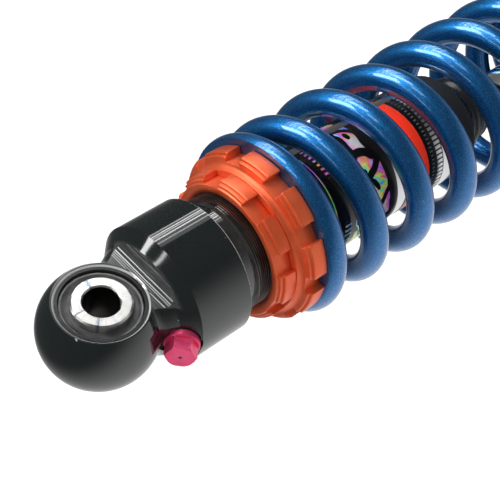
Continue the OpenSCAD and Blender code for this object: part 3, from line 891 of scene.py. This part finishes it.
# ---- Studio ----------------------------------------------------------------
# The damper stands on its lower eye over a wide pale floor under soft light.
# Strip lamps at the far right draw the long lines on the black parts.
floor_gap = 0.0005
floor_z = cad_box[0].z - floor_gap
bpy.ops.object.select_all(action="DESELECT")
bpy.ops.mesh.primitive_plane_add(size=30.0, location=(0, 0, floor_z))
floor = bpy.context.object
floor.name = "floor"
floor_paint = bpy.data.materials.new("floor_paint")
floor_paint.use_nodes = True
tree = floor_paint.node_tree
tree.nodes.clear()
backdrop_side = (-0.45, 0.75, -0.48)
floor_level = (0, 0, floor_z)


def sweep_glow(tree, direction):
    """How bright the white sweep is in a direction: full behind the damper, dark in front."""
    facing = put(
        tree, "VectorMath", {0: direction, 1: backdrop_side}, operation="DOT_PRODUCT"
    )
    return put(tree, "MapRange", {
        "Value": (facing, "Value"), "From Min": 0.0, "From Max": 0.95,
        "To Min": 0.09, "To Max": 0.92,
    }, interpolation_type="SMOOTHSTEP"), 0


# Mirrored in the gloss, the floor glows like the sweep that it runs up into.
floor_place = (put(tree, "TexCoord"), "Object")
below = put(tree, "VectorMath", {0: floor_place, 1: floor_level}, operation="ADD"), 0
towards = put(tree, "VectorMath", {0: below}, operation="NORMALIZE"), 0
lit = put(tree, "BsdfDiffuse", {"Color": (0.92, 0.92, 0.92, 1)})
mirrored = put(tree, "Emission", {"Color": sweep_glow(tree, towards), "Strength": 1.0})
path = put(tree, "LightPath")
mix = put(tree, "MixShader", {0: (path, "Is Glossy Ray"), 1: (lit, 0), 2: (mirrored, 0)})
put(tree, "OutputMaterial", {0: (mix, 0)})
floor.data.materials.append(floor_paint)

world = bpy.data.worlds.new("studio")
bpy.context.scene.world = world
world.use_nodes = True
tree = world.node_tree
path = put(tree, "LightPath")
glow = sweep_glow(tree, (put(tree, "TexCoord"), "Generated"))
seen = tint(tree, (path, "Is Glossy Ray"), (0.6, 0.6, 0.6), glow)
seen = tint(tree, (path, "Is Camera Ray"), seen, (0.95, 0.95, 0.95))
feed(tree.nodes["Background"], "Color", seen)

bpy.ops.object.light_add(type="SUN", location=(0, 0, 2))
overhead = bpy.context.object
overhead.name = "overhead"
overhead.data.energy = 1.6
overhead.data.angle = math.radians(50)
overhead.rotation_euler = (math.radians(20), math.radians(-8), 0)
overhead.visible_glossy = False


def towards_lamp(azimuth, elevation):
    """The direction of a lamp from angles in degrees."""
    side, rise = math.radians(azimuth), math.radians(elevation)
    level = math.cos(rise)
    return Vector((level * math.cos(side), level * math.sin(side), math.sin(rise)))


def softbox(name, azimuth, elevation, distance, size, radiance):
    """A rectangular lamp facing the rings, unseen by the camera; its second size stands up."""
    rings_middle = Vector((0, 0, -0.05))
    out = towards_lamp(azimuth, elevation)
    bpy.ops.object.light_add(type="AREA", location=rings_middle + out * distance)
    lamp = bpy.context.object
    lamp.name = name
    lamp.data.shape = "RECTANGLE"
    lamp.data.size, lamp.data.size_y = size
    lamp.data.energy = radiance * math.pi * size[0] * size[1]
    lamp.rotation_euler = (-out).to_track_quat("-Z", "Y").to_euler()
    lamp.visible_camera = False
    return lamp


strips = ((-37, 4), (-42, 8), (-45.5, 5), (-50, 9), (-57, 4))
for i, (azimuth, radiance) in enumerate(strips):
    softbox(
        f"strip_{i}", azimuth, elevation=-12, distance=0.34, size=(0.009, 0.36),
        radiance=radiance,
    )
softbox(
    "strip_glow", azimuth=-50, elevation=-12, distance=0.36, size=(0.17, 0.38), radiance=0.8
)
softbox("key", azimuth=-43, elevation=36, distance=1.6, size=(0.75, 0.6), radiance=9)
softbox("side", azimuth=-62, elevation=6, distance=1.1, size=(0.5, 0.3), radiance=6)
softbox("front_low", azimuth=-84, elevation=22, distance=1.5, size=(0.4, 0.3), radiance=3)


def bar_lamp(name, start, end, distance, width, radiance):
    """A long thin lamp whose ends are seen at two (azimuth, elevation) directions."""
    first, last = towards_lamp(*start) * distance, towards_lamp(*end) * distance
    along = last - first
    middle = (first + last) / 2
    bar = softbox(
        name, azimuth=0, elevation=0, distance=1.0, size=(width, along.length),
        radiance=radiance,
    )
    out = middle.normalized()
    up = (along - along.dot(out) * out).normalized()
    turn = Matrix((up.cross(out), up, out)).transposed().to_4x4()
    bar.matrix_world = Matrix.Translation(middle) @ turn
    return bar


bar_lamp("crest_bar", (-52, 46), (-122, 70), distance=1.4, width=0.05, radiance=6)
rear_bar = bar_lamp("rear_bar", (100, 55), (165, 60), distance=1.5, width=0.08, radiance=2)
rear_bar.visible_glossy = False

camera_place = Vector((-0.145, -0.2662, 0.1325))
view_right = Vector((-0.6712, -0.1494, -0.7260))
view_up = Vector((0.6249, -0.6409, -0.4458))
bpy.ops.object.camera_add()
camera = bpy.context.object
camera.name = "camera"
camera.data.lens = 87.0
camera.data.sensor_width = 36.0
camera.data.clip_start = 0.01
turn = Matrix((view_right, view_up, view_right.cross(view_up))).transposed().to_4x4()
camera.matrix_world = Matrix.Translation(camera_place) @ turn
bpy.context.scene.camera = camera
bpy.context.scene.view_settings.view_transform = "Standard"
